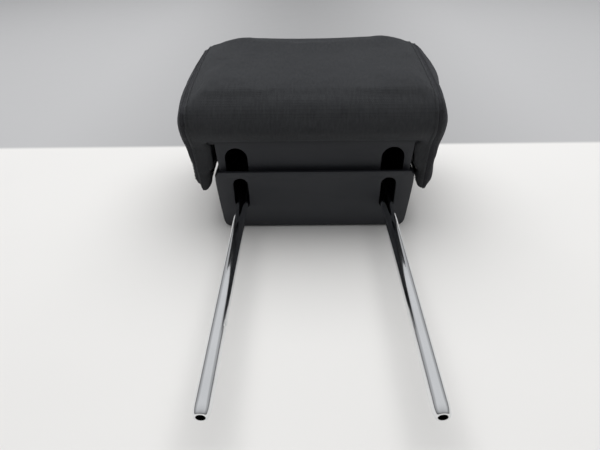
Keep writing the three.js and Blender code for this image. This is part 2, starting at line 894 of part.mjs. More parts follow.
const ratchet = new THREE.Group();
ratchet.add(named("pawl", pawl(), steel));
carrier.add(ratchet);
housing.add(carrier);

const headRestraint = new THREE.Group();
headRestraint.add(stay, housing);

export default headRestraint;
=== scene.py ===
import json
import math

import bmesh
import bpy
import numpy as np
from bpy.props import (
    FloatProperty,
    FloatVectorProperty,
    IntProperty,
    PointerProperty,
)
from bpy.types import Operator, Panel, PropertyGroup
from mathutils import Matrix, Vector, noise
from mathutils.bvhtree import BVHTree


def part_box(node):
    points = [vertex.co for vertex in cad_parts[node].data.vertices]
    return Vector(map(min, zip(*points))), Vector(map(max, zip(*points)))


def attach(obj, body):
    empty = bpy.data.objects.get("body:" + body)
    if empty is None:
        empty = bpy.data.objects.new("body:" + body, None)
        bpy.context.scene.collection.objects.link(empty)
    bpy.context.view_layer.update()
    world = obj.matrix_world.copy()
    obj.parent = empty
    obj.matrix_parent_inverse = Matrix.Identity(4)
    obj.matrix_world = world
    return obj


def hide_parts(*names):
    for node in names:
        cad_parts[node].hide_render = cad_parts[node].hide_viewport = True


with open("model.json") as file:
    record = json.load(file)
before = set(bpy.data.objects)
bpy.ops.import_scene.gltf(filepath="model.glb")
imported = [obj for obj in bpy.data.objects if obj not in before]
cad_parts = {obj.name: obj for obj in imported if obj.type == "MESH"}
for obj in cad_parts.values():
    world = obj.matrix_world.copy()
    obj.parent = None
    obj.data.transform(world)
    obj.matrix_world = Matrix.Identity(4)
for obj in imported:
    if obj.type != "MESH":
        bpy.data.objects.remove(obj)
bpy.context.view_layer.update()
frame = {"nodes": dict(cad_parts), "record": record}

bl_info = {
    "name": "Head restraint",
    "version": (1, 0, 0),
    "blender": (4, 5, 0),
    "location": "View3D > Sidebar > Head restraint",
    "description": "A two-post head restraint with a sliding, tilting cushion",
    "category": "Add Mesh",
}

MM = 0.001
CLOTH_MAP = "cloth"
COVER_NODES = ("face_cover", "side_cover_left", "side_cover_right")


def box(node):
    """Lowest and highest corner of a CAD node as two plain arrays."""
    low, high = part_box(node)
    return np.array(low), np.array(high)


STAY_LOW, STAY_HIGH = box("stay_tube")
SHELL_LOW, SHELL_HIGH = box("rear_shell")
TRAY_LOW, TRAY_HIGH = box("carrier_tray")
FACE_LOW, FACE_HIGH = box("face_cover")
SIDE_LOW, SIDE_HIGH = box("side_cover_right")
POST_RADIUS = float(STAY_HIGH[2] - STAY_LOW[2]) / 2
SEAM_AT = float(FACE_HIGH[0] + SIDE_LOW[0]) / 2


# ---------------------------------------------------------------------------
# Meshes
# ---------------------------------------------------------------------------


def link(name, mesh):
    """A new object at the origin that holds the mesh."""
    piece = bpy.data.objects.new(name, mesh)
    bpy.context.scene.collection.objects.link(piece)
    return piece


def mesh_from(bm, name):
    """Turns an edit mesh into a plain mesh and frees it."""
    mesh = bpy.data.meshes.new(name)
    bm.to_mesh(mesh)
    bm.free()
    return mesh


def node_copy(*nodes):
    """An edit mesh with copies of CAD nodes, each one's doubles merged."""
    bm = bmesh.new()
    for node in nodes:
        bm.from_mesh(frame["nodes"][node].data)
    bmesh.ops.remove_doubles(bm, verts=bm.verts, dist=2e-6)
    return bm


def evaluated(piece):
    """The piece's mesh with its modifiers applied, as a new mesh."""
    graph = bpy.context.evaluated_depsgraph_get()
    return bpy.data.meshes.new_from_object(piece.evaluated_get(graph))


def through(mesh, kind, **settings):
    """Runs one modifier over a mesh and returns the result."""
    piece = link("work", mesh)
    modifier = piece.modifiers.new(kind, kind)
    for key, value in settings.items():
        setattr(modifier, key, value)
    result = evaluated(piece)
    bpy.data.objects.remove(piece)
    bpy.data.meshes.remove(mesh)
    return result


def places(mesh):
    """The mesh's vertex places as an array of rows."""
    flat = np.zeros(len(mesh.vertices) * 3, np.float32)
    mesh.vertices.foreach_get("co", flat)
    return flat.reshape(-1, 3).astype(float)


def normals(mesh):
    """The mesh's vertex normals as an array of rows."""
    flat = np.zeros(len(mesh.vertices) * 3, np.float32)
    mesh.vertex_normals.foreach_get("vector", flat)
    return flat.reshape(-1, 3).astype(float)


def move_to(mesh, rows):
    """Puts the mesh's vertices at new places."""
    mesh.vertices.foreach_set("co", rows.astype(np.float32).ravel())
    mesh.update()


def shade(mesh, angle=40):
    """Smooth shading that stays crisp at edges sharper than an angle in degrees."""
    mesh.shade_smooth()
    mesh.set_sharp_from_angle(angle=math.radians(angle))


def finished(name, mesh, body, material, nodes=()):
    """A piece on its CAD body, in its finish, standing for CAD nodes."""
    piece = link(name, mesh)
    mesh.materials.clear()
    mesh.materials.append(material)
    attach(piece, body)
    if nodes:
        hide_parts(*nodes)
    return piece


def softened(node, radius, segments=2, angle=32):
    """A CAD node's shape with its edges rounded."""
    bm = node_copy(node)
    bmesh.ops.dissolve_limit(
        bm, angle_limit=math.radians(0.4), verts=bm.verts, edges=bm.edges
    )
    sharp = [
        edge
        for edge in bm.edges
        if len(edge.link_faces) == 2
        and edge.calc_face_angle(0) > math.radians(angle)
    ]
    bmesh.ops.bevel(
        bm,
        geom=sharp,
        offset=radius,
        segments=segments,
        profile=0.5,
        affect="EDGES",
        clamp_overlap=True,
        loop_slide=True,
    )
    bmesh.ops.triangulate(
        bm, faces=[face for face in bm.faces if len(face.verts) > 4]
    )
    mesh = mesh_from(bm, node)
    shade(mesh)
    return mesh


# ---------------------------------------------------------------------------
# Finishes
# ---------------------------------------------------------------------------


class Recipe:
    """A material's node tree, built a node at a time."""

    def __init__(self, name):
        self.material = bpy.data.materials.new(name)
        self.material.use_nodes = True
        self.tree = self.material.node_tree
        self.tree.nodes.clear()

    def add(self, kind, inputs=None, **settings):
        node = self.tree.nodes.new("ShaderNode" + kind)
        for key, value in settings.items():
            setattr(node, key, value)
        for socket, value in (inputs or {}).items():
            self.feed(node.inputs[socket], value)
        return node

    def feed(self, socket, value):
        if isinstance(value, bpy.types.NodeSocket):
            self.tree.links.new(value, socket)
        else:
            socket.default_value = value

    def sum(self, operation, *values):
        node = self.add("Math", operation=operation)
        for socket, value in zip(node.inputs, values):
            self.feed(socket, value)
        return node.outputs[0]

    def grain(self, vector, scale, detail=3.0, roughness=0.55, stretch=None):
        """Noise from 0 to 1, drawn out along an axis if stretch is given."""
        if stretch:
            vector = self.add(
                "Mapping", {"Vector": vector, "Scale": stretch}
            ).outputs[0]
        node = self.add(
            "TexNoise",
            {
                "Vector": vector,
                "Scale": scale,
                "Detail": detail,
                "Roughness": roughness,
            },
        )
        return node.outputs["Fac"]

    def span(self, value, low, high):
        """Maps 0 to 1 onto a range."""
        return self.add(
            "MapRange", {"Value": value, "To Min": low, "To Max": high}
        ).outputs[0]

    def blend(self, share, first, second):
        node = self.add("Mix", data_type="RGBA")
        colours = [s for s in node.inputs if s.type == "RGBA"]
        self.feed(node.inputs[0], share)
        self.feed(colours[0], first)
        self.feed(colours[1], second)
        return [s for s in node.outputs if s.type == "RGBA"][0]

    def bump(self, height, depth, strength=1.0, under=None):
        inputs = {"Height": height, "Distance": depth, "Strength": strength}
        if under is not None:
            inputs["Normal"] = under
        return self.add("Bump", inputs).outputs[0]

    def close(self, **inputs):
        shader = self.add("BsdfPrincipled")
        for socket, value in inputs.items():
            self.feed(shader.inputs[socket.replace("_", " ")], value)
        out = self.add("OutputMaterial")
        self.tree.links.new(shader.outputs[0], out.inputs["Surface"])
        return self.material


def colour(values):
    return (*values, 1.0)


def woven_cloth(name, dark, light, pitch):
    """Plain weave of two-tone yarn with a soft bloom at glancing angles."""
    r = Recipe(name)
    cloth = r.add("UVMap", uv_map=CLOTH_MAP).outputs[0]
    place = r.add("TexCoord").outputs["Object"]
    split = r.add("SeparateXYZ", {"Vector": cloth})
    turn = math.pi / pitch
    warp = r.sum("SINE", r.sum("MULTIPLY", split.outputs[0], turn))
    weft = r.sum("SINE", r.sum("MULTIPLY", split.outputs[1], turn))
    warp_up = r.sum("GREATER_THAN", r.sum("MULTIPLY", warp, weft), 0.0)
    warp_yarn = r.sum("POWER", r.sum("ABSOLUTE", warp), 0.7)
    weft_yarn = r.sum("POWER", r.sum("ABSOLUTE", weft), 0.7)
    over = r.sum("MULTIPLY", warp_up, warp_yarn)
    under = r.sum(
        "MULTIPLY", r.sum("SUBTRACT", 1.0, warp_up), weft_yarn
    )
    yarn = r.sum("ADD", over, under)
    fibre = r.grain(cloth, 1500.0, 2.0, stretch=(0.35, 1.0, 1.0))
    mottle = r.grain(place, 55.0, 4.0)
    broad = r.grain(place, 9.0, 2.0)
    slub = r.span(r.grain(cloth, 520.0, 3.0, stretch=(1.0, 0.3, 1.0)), -0.5, 1.2)
    tone = r.sum(
        "MULTIPLY_ADD", yarn, 0.4, r.sum("MULTIPLY", fibre, 0.25)
    )
    tone = r.sum("MULTIPLY_ADD", slub, 0.42, tone)
    tone = r.sum("MULTIPLY_ADD", mottle, 0.25, tone)
    tone = r.sum("MULTIPLY_ADD", broad, 0.3, r.sum("SUBTRACT", tone, 0.4))
    rough = r.span(r.sum("MULTIPLY", yarn, fibre), 0.92, 0.78)
    height = r.sum("MULTIPLY_ADD", fibre, 0.25, yarn)
    weave = r.bump(height, 0.00035, 0.6)
    return r.close(
        Base_Color=r.blend(tone, colour(dark), colour(light)),
        Roughness=rough,
        Normal=r.bump(mottle, 0.0004, 0.35, weave),
        Sheen_Weight=0.10,
        Sheen_Roughness=0.4,
        Sheen_Tint=(0.62, 0.65, 0.7, 1.0),
        Specular_IOR_Level=0.25,
    )


def moulded_plastic(name, base, grain, rough):
    """Moulded plastic with a fine spark-eroded grain, dust and faint rub marks."""
    r = Recipe(name)
    place = r.add("TexCoord").outputs["Object"]
    cells = r.add(
        "TexVoronoi",
        {"Vector": place, "Scale": 1.0 / grain},
        feature="SMOOTH_F1",
    ).outputs["Distance"]
    cloud = r.grain(place, 22.0, 4.0)
    rub = r.grain(place, 60.0, 3.0, stretch=(0.25, 3.0, 1.0))
    paler = tuple(min(1.0, value * 1.5 + 0.004) for value in base)
    tone = r.sum("MULTIPLY_ADD", cloud, 0.7, r.sum("MULTIPLY", rub, 0.3))
    fine = r.grain(place, 1800.0, 2.0)
    return r.close(
        Base_Color=r.blend(tone, colour(base), colour(paler)),
        Roughness=r.sum(
            "MULTIPLY_ADD", rub, 0.12, r.span(cloud, rough - 0.08, rough + 0.04)
        ),
        Normal=r.bump(
            fine, 0.00006, 0.5, r.bump(cells, grain * 0.14, 0.55)
        ),
        Specular_IOR_Level=0.42,
    )


def polished_chrome(name):
    """Bright chrome over steel, with hairlines from the guides and faint smudges."""
    r = Recipe(name)
    place = r.add("TexCoord").outputs["Object"]
    hairline = r.grain(place, 900.0, 2.0, stretch=(1.0, 0.03, 1.0))
    smudge = r.grain(place, 30.0, 5.0)
    wave = r.grain(place, 14.0, 1.0)
    rough = r.sum(
        "MULTIPLY_ADD", hairline, 0.05, r.span(smudge, 0.035, 0.12)
    )
    return r.close(
        Base_Color=r.blend(
            smudge, (0.86, 0.87, 0.88, 1.0), (0.74, 0.75, 0.76, 1.0)
        ),
        Metallic=1.0,
        Roughness=rough,
        Normal=r.bump(
            hairline, 0.00001, 0.35, r.bump(wave, 0.0002, 0.12)
        ),
    )


def zinc_steel(name):
    """Zinc-plated steel with turning lines and a mottled tarnish."""
    r = Recipe(name)
    place = r.add("TexCoord").outputs["Object"]
    lines = r.grain(place, 700.0, 2.0, stretch=(1.0, 1.0, 0.08))
    tarnish = r.grain(place, 120.0, 4.0)
    return r.close(
        Base_Color=r.blend(
            tarnish, (0.56, 0.57, 0.58, 1.0), (0.40, 0.40, 0.38, 1.0)
        ),
        Metallic=1.0,
        Roughness=r.sum("MULTIPLY_ADD", lines, 0.2, r.span(tarnish, 0.2, 0.4)),
        Normal=r.bump(lines, 0.00003, 0.5),
    )


def natural_acetal(name):
    """Milky natural acetal, slightly see-through at thin edges."""
    r = Recipe(name)
    place = r.add("TexCoord").outputs["Object"]
    flow = r.grain(place, 90.0, 3.0, stretch=(1.0, 1.0, 0.3))
    return r.close(
        Base_Color=r.blend(
            flow, (0.70, 0.69, 0.63, 1.0), (0.60, 0.58, 0.51, 1.0)
        ),
        Roughness=r.span(flow, 0.35, 0.5),
        Subsurface_Weight=0.15,
        Subsurface_Scale=0.002,
        Normal=r.bump(r.grain(place, 1500.0), 0.00004, 0.4),
    )


def moulded_foam(name):
    """Cold-cured foam: an open-celled skin with larger pinholes."""
    r = Recipe(name)
    place = r.add("TexCoord").outputs["Object"]
    cells = r.add("TexVoronoi", {"Vector": place, "Scale": 900.0}).outputs[
        "Distance"
    ]
    pits = r.add("TexVoronoi", {"Vector": place, "Scale": 160.0}).outputs[
        "Distance"
    ]
    age = r.grain(place, 18.0, 4.0)
    return r.close(
        Base_Color=r.blend(
            age, (0.30, 0.28, 0.22, 1.0), (0.20, 0.185, 0.15, 1.0)
        ),
        Roughness=r.span(cells, 0.8, 0.98),
        Normal=r.bump(pits, 0.0006, 0.5, r.bump(cells, 0.0004, 0.8)),
        Sheen_Weight=0.1,
    )


def bonded_thread(name, base):
    """Bonded three-ply sewing thread."""
    r = Recipe(name)
    place = r.add("TexCoord").outputs["Object"]
    ply = r.add(
        "TexWave",
        {"Vector": place, "Scale": 900.0, "Distortion": 1.5},
        bands_direction="DIAGONAL",
    ).outputs["Fac"]
    paler = tuple(value * 1.8 for value in base)
    return r.close(
        Base_Color=r.blend(ply, colour(base), colour(paler)),
        Roughness=r.span(ply, 0.5, 0.75),
        Normal=r.bump(ply, 0.0001, 0.7),
        Sheen_Weight=0.04,
    )


def matt_table(name, floor, wall, junction):
    """A pale table that meets a greyer backdrop at a straight soft line. The backdrop
    is painted on the table. Its grey is partly its own colour and partly painted shade
    for the dimmer light on an upright wall, and more painted shade darkens its middle.
    """
    r = Recipe(name)
    place = r.add("TexCoord").outputs["Object"]
    along = r.add("SeparateXYZ", {"Vector": place})
    edge = r.add(
        "MapRange",
        {
            "Value": along.outputs["Y"],
            "From Min": junction - 0.004,
            "From Max": junction + 0.006,
        },
        interpolation_type="SMOOTHSTEP",
    ).outputs[0]
    # Painted shade: the backdrop is darkest in the middle and pales towards the sides.
    middle = r.add(
        "MapRange",
        {
            "Value": r.sum("ABSOLUTE", along.outputs["X"]),
            "From Min": 0.0,
            "From Max": 0.42,
        },
        interpolation_type="SMOOTHSTEP",
    ).outputs[0]
    # Painted shade: the grey of the backdrop's darkened middle, also mixed at random in
    # small amounts into the table.
    shaded_wall_grey = tuple(value * 0.72 for value in wall)
    cloud = r.grain(place, 3.0, 3.0)
    backdrop = r.blend(middle, colour(shaded_wall_grey), colour(wall))
    tint = r.blend(
        r.span(cloud, 0.0, 0.12), colour(floor), colour(shaded_wall_grey)
    )
    return r.close(
        Base_Color=r.blend(edge, tint, backdrop),
        Roughness=r.span(r.grain(place, 40.0), 0.55, 0.7),
        Specular_IOR_Level=0.2,
        Normal=r.bump(r.grain(place, 900.0), 0.00005, 0.3),
    )


FINISHES = {}


def finish(slot):
    """The material for a slot of the record, made the first time it is asked for."""
    if slot in FINISHES:
        return FINISHES[slot]
    look = bpy.context.scene.restraint_look
    cloth = bpy.context.scene.restraint_cushion
    makers = {
        "chromed_tube": lambda: polished_chrome("chrome"),
        "shell_plastic": lambda: moulded_plastic(
            "shell plastic", look.shell_colour, look.grain, 0.5
        ),
        "carrier_plastic": lambda: moulded_plastic(
            "carrier plastic", look.carrier_colour, look.grain, 0.54
        ),
        "acetal": lambda: natural_acetal("natural acetal"),
        "bright_steel": lambda: zinc_steel("zinc steel"),
        "foam": lambda: moulded_foam("foam"),
        "face_fabric": lambda: woven_cloth(
            "face cloth", cloth.face_dark, cloth.face_light, cloth.weave
        ),
        "side_fabric": lambda: woven_cloth(
            "side cloth", cloth.side_dark, cloth.side_light, cloth.weave
        ),
        "thread": lambda: bonded_thread("thread", cloth.thread),
    }
    FINISHES[slot] = makers[slot]()
    return FINISHES[slot]


def dress(*nodes):
    """Gives carried-over CAD nodes the finish of their slot in the record."""
    slots = {
        part["node"]: part["material_slot"]
        for part in frame["record"]["subparts"]
    }
    for node in nodes:
        mesh = frame["nodes"][node].data
        mesh.materials.clear()
        mesh.materials.append(finish(slots[node]))


# ---------------------------------------------------------------------------
# Sizes and colours
# ---------------------------------------------------------------------------


class RestraintCushion(PropertyGroup):
    """The foam, its covers and their sewing."""

    voxel: FloatProperty(
        name="Mesh size",
        description="Edge length of the cushion's mesh before it is refined",
        default=4.2 * MM,
        unit="LENGTH",
    )
    rounding: IntProperty(
        name="Rounding", description="Smoothing passes over the form", default=14
    )
    pressure: FloatProperty(
        name="Stuffing", description="Pressure under the covers", default=4.0
    )
    swell: FloatProperty(
        name="Swell",
        description="Most that the stuffing moves the cloth",
        default=1.6 * MM,
        unit="LENGTH",
    )
    cover: FloatProperty(
        name="Cover", description="Thickness of cloth with backing",
        default=1.5 * MM, unit="LENGTH",
    )
    seam_at: FloatProperty(
        name="Seam", description="Side seams from the middle plane",
        default=SEAM_AT, unit="LENGTH",
    )
    seam_shift: FloatProperty(
        name="Seam shift", description="How far both seams sit to the right",
        default=-3.6 * MM, unit="LENGTH",
    )
    seam_depth: FloatProperty(
        name="Seam depth", description="How far a seam draws in",
        default=0.9 * MM, unit="LENGTH",
    )
    stitch_offset: FloatProperty(
        name="Stitch offset", description="Rows of stitches from the seam",
        default=3.2 * MM, unit="LENGTH",
    )
    stitch_pitch: FloatProperty(
        name="Stitch pitch", description="From one stitch to the next",
        default=4.0 * MM, unit="LENGTH",
    )
    thread_radius: FloatProperty(
        name="Thread radius", description="Half the thread's thickness",
        default=0.26 * MM, unit="LENGTH",
    )
    weave: FloatProperty(
        name="Weave", description="Spacing of the yarns",
        default=0.9 * MM, unit="LENGTH",
    )
    face_dark: FloatVectorProperty(
        name="Face, dark yarn", description="Colour of the face's dark yarn",
        subtype="COLOR", default=(0.0205, 0.0215, 0.0238),
    )
    face_light: FloatVectorProperty(
        name="Face, light yarn", description="Colour of the face's light yarn",
        subtype="COLOR", default=(0.0580, 0.0598, 0.0630),
    )
    side_dark: FloatVectorProperty(
        name="Side, dark yarn", description="Colour of the sides' dark yarn",
        subtype="COLOR", default=(0.0170, 0.0172, 0.0200),
    )
    side_light: FloatVectorProperty(
        name="Side, light yarn", description="Colour of the sides' light yarn",
        subtype="COLOR", default=(0.0480, 0.0485, 0.0530),
    )
    thread: FloatVectorProperty(
        name="Thread", description="Colour of the sewing thread",
        subtype="COLOR", default=(0.012, 0.012, 0.014),
    )


class RestraintLook(PropertyGroup):
    """The mouldings and the stay."""

    edge: FloatProperty(
        name="Edge radius", description="Rounding of the mouldings' edges",
        default=0.7 * MM, unit="LENGTH",
    )
    grain: FloatProperty(
        name="Grain", description="Size of the moulded grain",
        default=0.55 * MM, unit="LENGTH",
    )
    shell_colour: FloatVectorProperty(
        name="Shell", description="Colour of the rear shell",
        subtype="COLOR", default=(0.019, 0.0205, 0.0245),
    )
    carrier_colour: FloatVectorProperty(
        name="Carrier", description="Colour of the carrier",
        subtype="COLOR", default=(0.017, 0.0185, 0.0225),
    )
    swage: FloatProperty(
        name="Swage", description="Length of the posts' bullet ends",
        default=9 * MM, unit="LENGTH",
    )
    tip: FloatProperty(
        name="Tip", description="Diameter at the very end of a post",
        default=8.4 * MM, unit="LENGTH",
    )
    tip_hole: FloatProperty(
        name="Tip hole", description="Diameter of the hole in a tip",
        default=6.4 * MM, unit="LENGTH",
    )
    bore: FloatProperty(
        name="Bore", description="Inside diameter of the tube",
        default=8.6 * MM, unit="LENGTH",
    )
    bend: FloatProperty(
        name="Bend", description="Radius of the stay's bends",
        default=26 * MM, unit="LENGTH",
    )
    notch_at: FloatProperty(
        name="Notch", description="Notches from the tips",
        default=71 * MM, unit="LENGTH",
    )
    notch_length: FloatProperty(
        name="Notch length", description="Length of a notch",
        default=6 * MM, unit="LENGTH",
    )
    notch_depth: FloatProperty(
        name="Notch depth", description="Depth of a notch",
        default=1.4 * MM, unit="LENGTH",
    )


class RestraintStage(PropertyGroup):
    """The table, the lamps and the camera."""

    floor: FloatVectorProperty(
        name="Table", description="Colour of the table",
        subtype="COLOR", default=(0.80, 0.79, 0.772),
    )
    wall: FloatVectorProperty(
        name="Backdrop", description="Colour of the backdrop",
        subtype="COLOR", default=(0.475, 0.475, 0.48),
    )
    junction: FloatProperty(
        name="Backdrop line", description="Where the backdrop begins",
        default=113 * MM, unit="LENGTH",
    )
    overhead: FloatProperty(
        name="Overhead lamp", description="Power of the lamp above",
        default=28.0, unit="POWER",
    )
    front: FloatProperty(
        name="Front lamp", description="Power of the lamp behind the camera",
        default=1.0, unit="POWER",
    )
    sky: FloatProperty(
        name="Room light", description="Strength of the room's own light",
        default=0.62,
    )
    lens: FloatProperty(
        name="Lens", description="Focal length", default=26.4, unit="CAMERA"
    )


# ---------------------------------------------------------------------------
# Stay
# ---------------------------------------------------------------------------


def stay_stations(look):
    """Places along the tube, as (point, heading), from the left tip to the right."""
    post = STAY_HIGH[0] - POST_RADIUS
    height = (STAY_LOW[2] + STAY_HIGH[2]) / 2
    tip, crossbar = STAY_LOW[1], STAY_HIGH[1] - POST_RADIUS
    bend_y = crossbar - look.bend
    notch = tip + look.notch_at
    half = look.notch_length / 2
    nose = [1 - math.cos(k / 14 * math.pi / 2) for k in range(15)]
    along = [tip + look.swage * k for k in nose]
    along += list(np.arange(tip + look.swage + 8 * MM, notch - half - 3 * MM, 9 * MM))
    for edge in (notch - half, notch + half):
        along += [edge + k * MM for k in (-0.6, -0.05, 0.05, 0.6)]
    along += list(np.arange(notch + half + 6 * MM, bend_y - 4 * MM, 9 * MM))
    along = sorted(along)
    stations = [((-post, y, height), (0.0, 1.0, 0.0)) for y in along]
    steps = 28
    for k in range(steps + 1):
        turn = k / steps * math.pi / 2
        x = -(post - look.bend) - look.bend * math.cos(turn)
        y = bend_y + look.bend * math.sin(turn)
        stations.append(((x, y, height), (math.sin(turn), math.cos(turn), 0.0)))
    other = [
        ((-x, y, z), (u, -v, w)) for (x, y, z), (u, v, w) in reversed(stations)
    ]
    return stations + other


def swage_radius(y, look, full, end):
    """A radius that draws in to a bullet nose over the swage."""
    share = min(1.0, max(0.0, (y - STAY_LOW[1]) / look.swage))
    return end + (full - end) * math.sqrt(1 - (1 - share) ** 2)


class RESTRAINT_OT_stay(Operator):
    """Makes the bent chromed tube with bullet ends and locking notches"""

    bl_idname = "restraint.stay"
    bl_label = "Stay"

    def execute(self, context):
        look = context.scene.restraint_look
        sides = 72
        stations = stay_stations(look)
        bm = bmesh.new()
        notch = STAY_LOW[1] + look.notch_at
        flat = POST_RADIUS - look.notch_depth

        def ring(place, heading, radius, notched):
            centre, forward = Vector(place), Vector(heading)
            side = forward.cross(Vector((0, 0, 1)))
            verts = []
            for k in range(sides):
                turn = 2 * math.pi * k / sides
                out = side * math.cos(turn) + Vector((0, 0, 1)) * math.sin(turn)
                point = centre + out * radius
                if notched and abs(place[1] - notch) < look.notch_length / 2:
                    point.x = min(point.x, place[0] + flat)
                verts.append(bm.verts.new(point))
            return verts

        outer = []
        inner = []
        for place, heading in stations:
            straight = abs(heading[0]) < 1e-6
            full, hollow = POST_RADIUS, look.bore / 2
            if straight:
                full = swage_radius(place[1], look, full, look.tip / 2)
                hollow = min(
                    swage_radius(place[1], look, hollow, look.tip_hole / 2),
                    full - 0.9 * MM,
                )
            outer.append(ring(place, heading, full, straight))
            inner.append(ring(place, heading, hollow, False))
        for rings, turned in ((outer, False), (inner, True)):
            for a, b in zip(rings, rings[1:]):
                for k in range(sides):
                    n = (k + 1) % sides
                    face = [a[k], b[k], b[n], a[n]]
                    bm.faces.new(face[::-1] if turned else face)
        for a, b in ((outer[0], inner[0]), (inner[-1], outer[-1])):
            for k in range(sides):
                n = (k + 1) % sides
                bm.faces.new([a[k], a[n], b[n], b[k]])
        bmesh.ops.recalc_face_normals(bm, faces=bm.faces)
        mesh = mesh_from(bm, "stay_tube_fine")
        shade(mesh, 34)
        finished(
            "chromed_stay", mesh, "stay",
            finish("chromed_tube"), ["stay_tube"],
        )
        return {"FINISHED"}


# ---------------------------------------------------------------------------
# Mouldings and mechanism
# ---------------------------------------------------------------------------


class RESTRAINT_OT_mouldings(Operator):
    """Makes the rear shell, the carrier and the cover clips with rounded edges"""

    bl_idname = "restraint.mouldings"
    bl_label = "Shell and carrier"

    def execute(self, context):
        look = context.scene.restraint_look
        thin = 0.28 * MM
        rows = [
            ("rear_shell", "housing", "shell_plastic", look.edge),
            ("carrier_tray", "carrier", "carrier_plastic", look.edge * 0.8),
            ("side_clip_left", "carrier", "carrier_plastic", thin),
            ("side_clip_right", "carrier", "carrier_plastic", thin),
            ("crown_clip", "carrier", "carrier_plastic", thin),
            ("lower_clip", "carrier", "carrier_plastic", thin),
        ]
        for node, body, slot, radius in rows:
            finished(
                node + "_moulding", softened(node, radius), body,
                finish(slot), [node],
            )
        return {"FINISHED"}


class RESTRAINT_OT_clamps(Operator):
    """Makes the crossbar's saddles and caps and dresses their bushes and screws"""

    bl_idname = "restraint.clamps"
    bl_label = "Clamps"

    def execute(self, context):
        for side in ("left", "right"):
            for node in ("saddle_" + side, "clamp_cap_" + side):
                finished(
                    node + "_moulding", softened(node, 0.5 * MM), "housing",
                    finish("shell_plastic"), [node],
                )
            dress("friction_bush_" + side)
        dress("rack_screw", *(f"clamp_screw_{k}" for k in range(1, 5)))
        return {"FINISHED"}


class RESTRAINT_OT_guides(Operator):
    """Dresses the guide rods and their bushes"""

    bl_idname = "restraint.guides"
    bl_label = "Guides"

    def execute(self, context):
        for side in ("left", "right"):
            dress("guide_rod_" + side, "guide_bush_" + side)
        return {"FINISHED"}


class RESTRAINT_OT_ratchet(Operator):
    """Makes the rack and the pawl with rounded edges and dresses pin and spring"""

    bl_idname = "restraint.ratchet"
    bl_label = "Ratchet"

    def execute(self, context):
        finished(
            "ratchet_rack_moulding", softened("ratchet_rack", 0.25 * MM),
            "housing", finish("acetal"), ["ratchet_rack"],
        )
        finished(
            "pawl_stamping", softened("pawl", 0.2 * MM), "pawl",
            finish("bright_steel"), ["pawl"],
        )
        dress("pawl_pin", "pawl_spring")
        return {"FINISHED"}


# ---------------------------------------------------------------------------
# Cushion
# ---------------------------------------------------------------------------

FORM = {}

# How far each part of the form is worked after the cloth step
SHOULDER_SWELL = 5.0 * MM
RIGHT_SLACK = 4.8 * MM
WING_FLARE = 2.2 * MM
TIP_TUCK = 3.4 * MM
CROWN_LIFT = 3.4 * MM
TIP_DROP = 2.4 * MM
CORNER_FOLD = 8.5 * MM
LOWER_ROLL = 4.2 * MM
LOWER_STOOP = 3.2 * MM
FACE_RISE = 0.1

# The hollow for the carrier: its room round the tray, and where its hems start
THROAT_ROOM = 2.4 * MM
THROAT_HEADROOM = 1.4 * MM
HEM_DEPTH = 9 * MM

# The cloth step: what is held, how long it runs, and how far it may sink
HELD_MARGIN = 6 * MM
HELD_BELOW = 50 * MM
CLOTH_STEPS = 20
SINK_MOST = 0.2 * MM

# Lowest and highest corner and corner radius of the loops that the cloth follows
FACE_LOOP = (
    (FACE_LOW[1] + 14 * MM, 0.03),
    (FACE_HIGH[1] - 14 * MM, FACE_HIGH[2] - 20 * MM),
    12 * MM,
)
SIDE_LOOP = ((0.1085, 0.046), (0.1165, FACE_HIGH[2] - 24 * MM), 3.9 * MM)
SIDE_LEAN = 0.9

# The drawn-in seam and the cuts along it, in millimetres from the seam
SEAM_WIDTH = 0.9
PUCKER_WIDTH = 5.0
PUCKER = 0.1 * MM
RIPPLE = 0.22 * MM
SEAM_CUTS = (-4, -2, -1.1, -0.5, 0, 0.5, 1.1, 2, 4)

# The foam core, with its inset and its grain in millimetres
FOAM_VOXEL = 4.5 * MM
FOAM_PASSES = 8
FOAM_INSET = 1.7
FOAM_GRAIN = 0.25


def relax(mesh, passes, back=0.53):
    """Evens a mesh out without shrinking it: each pass draws in, then lets out."""
    rows = places(mesh)
    ends = np.zeros(len(mesh.edges) * 2, np.int64)
    mesh.edges.foreach_get("vertices", ends)
    first, second = ends[0::2], ends[1::2]
    count = np.bincount(ends, minlength=len(rows))[:, None]
    for _ in range(passes):
        for factor in (0.5, -back):
            total = np.zeros_like(rows)
            for axis in range(3):
                total[:, axis] = np.bincount(
                    first, rows[second, axis], len(rows)
                ) + np.bincount(second, rows[first, axis], len(rows))
            rows += factor * (total / count - rows)
    move_to(mesh, rows)
    return mesh


def swell_at(value, middle, spread):
    """1 at the middle, falling off softly on both sides."""
    return np.exp(-(((value - middle) / spread) ** 2))


def ramp(value, low, high):
    """0 below low, 1 above high, smooth between."""
    share = np.clip((value - low) / (high - low), 0.0, 1.0)
    return share * share * (3 - 2 * share)


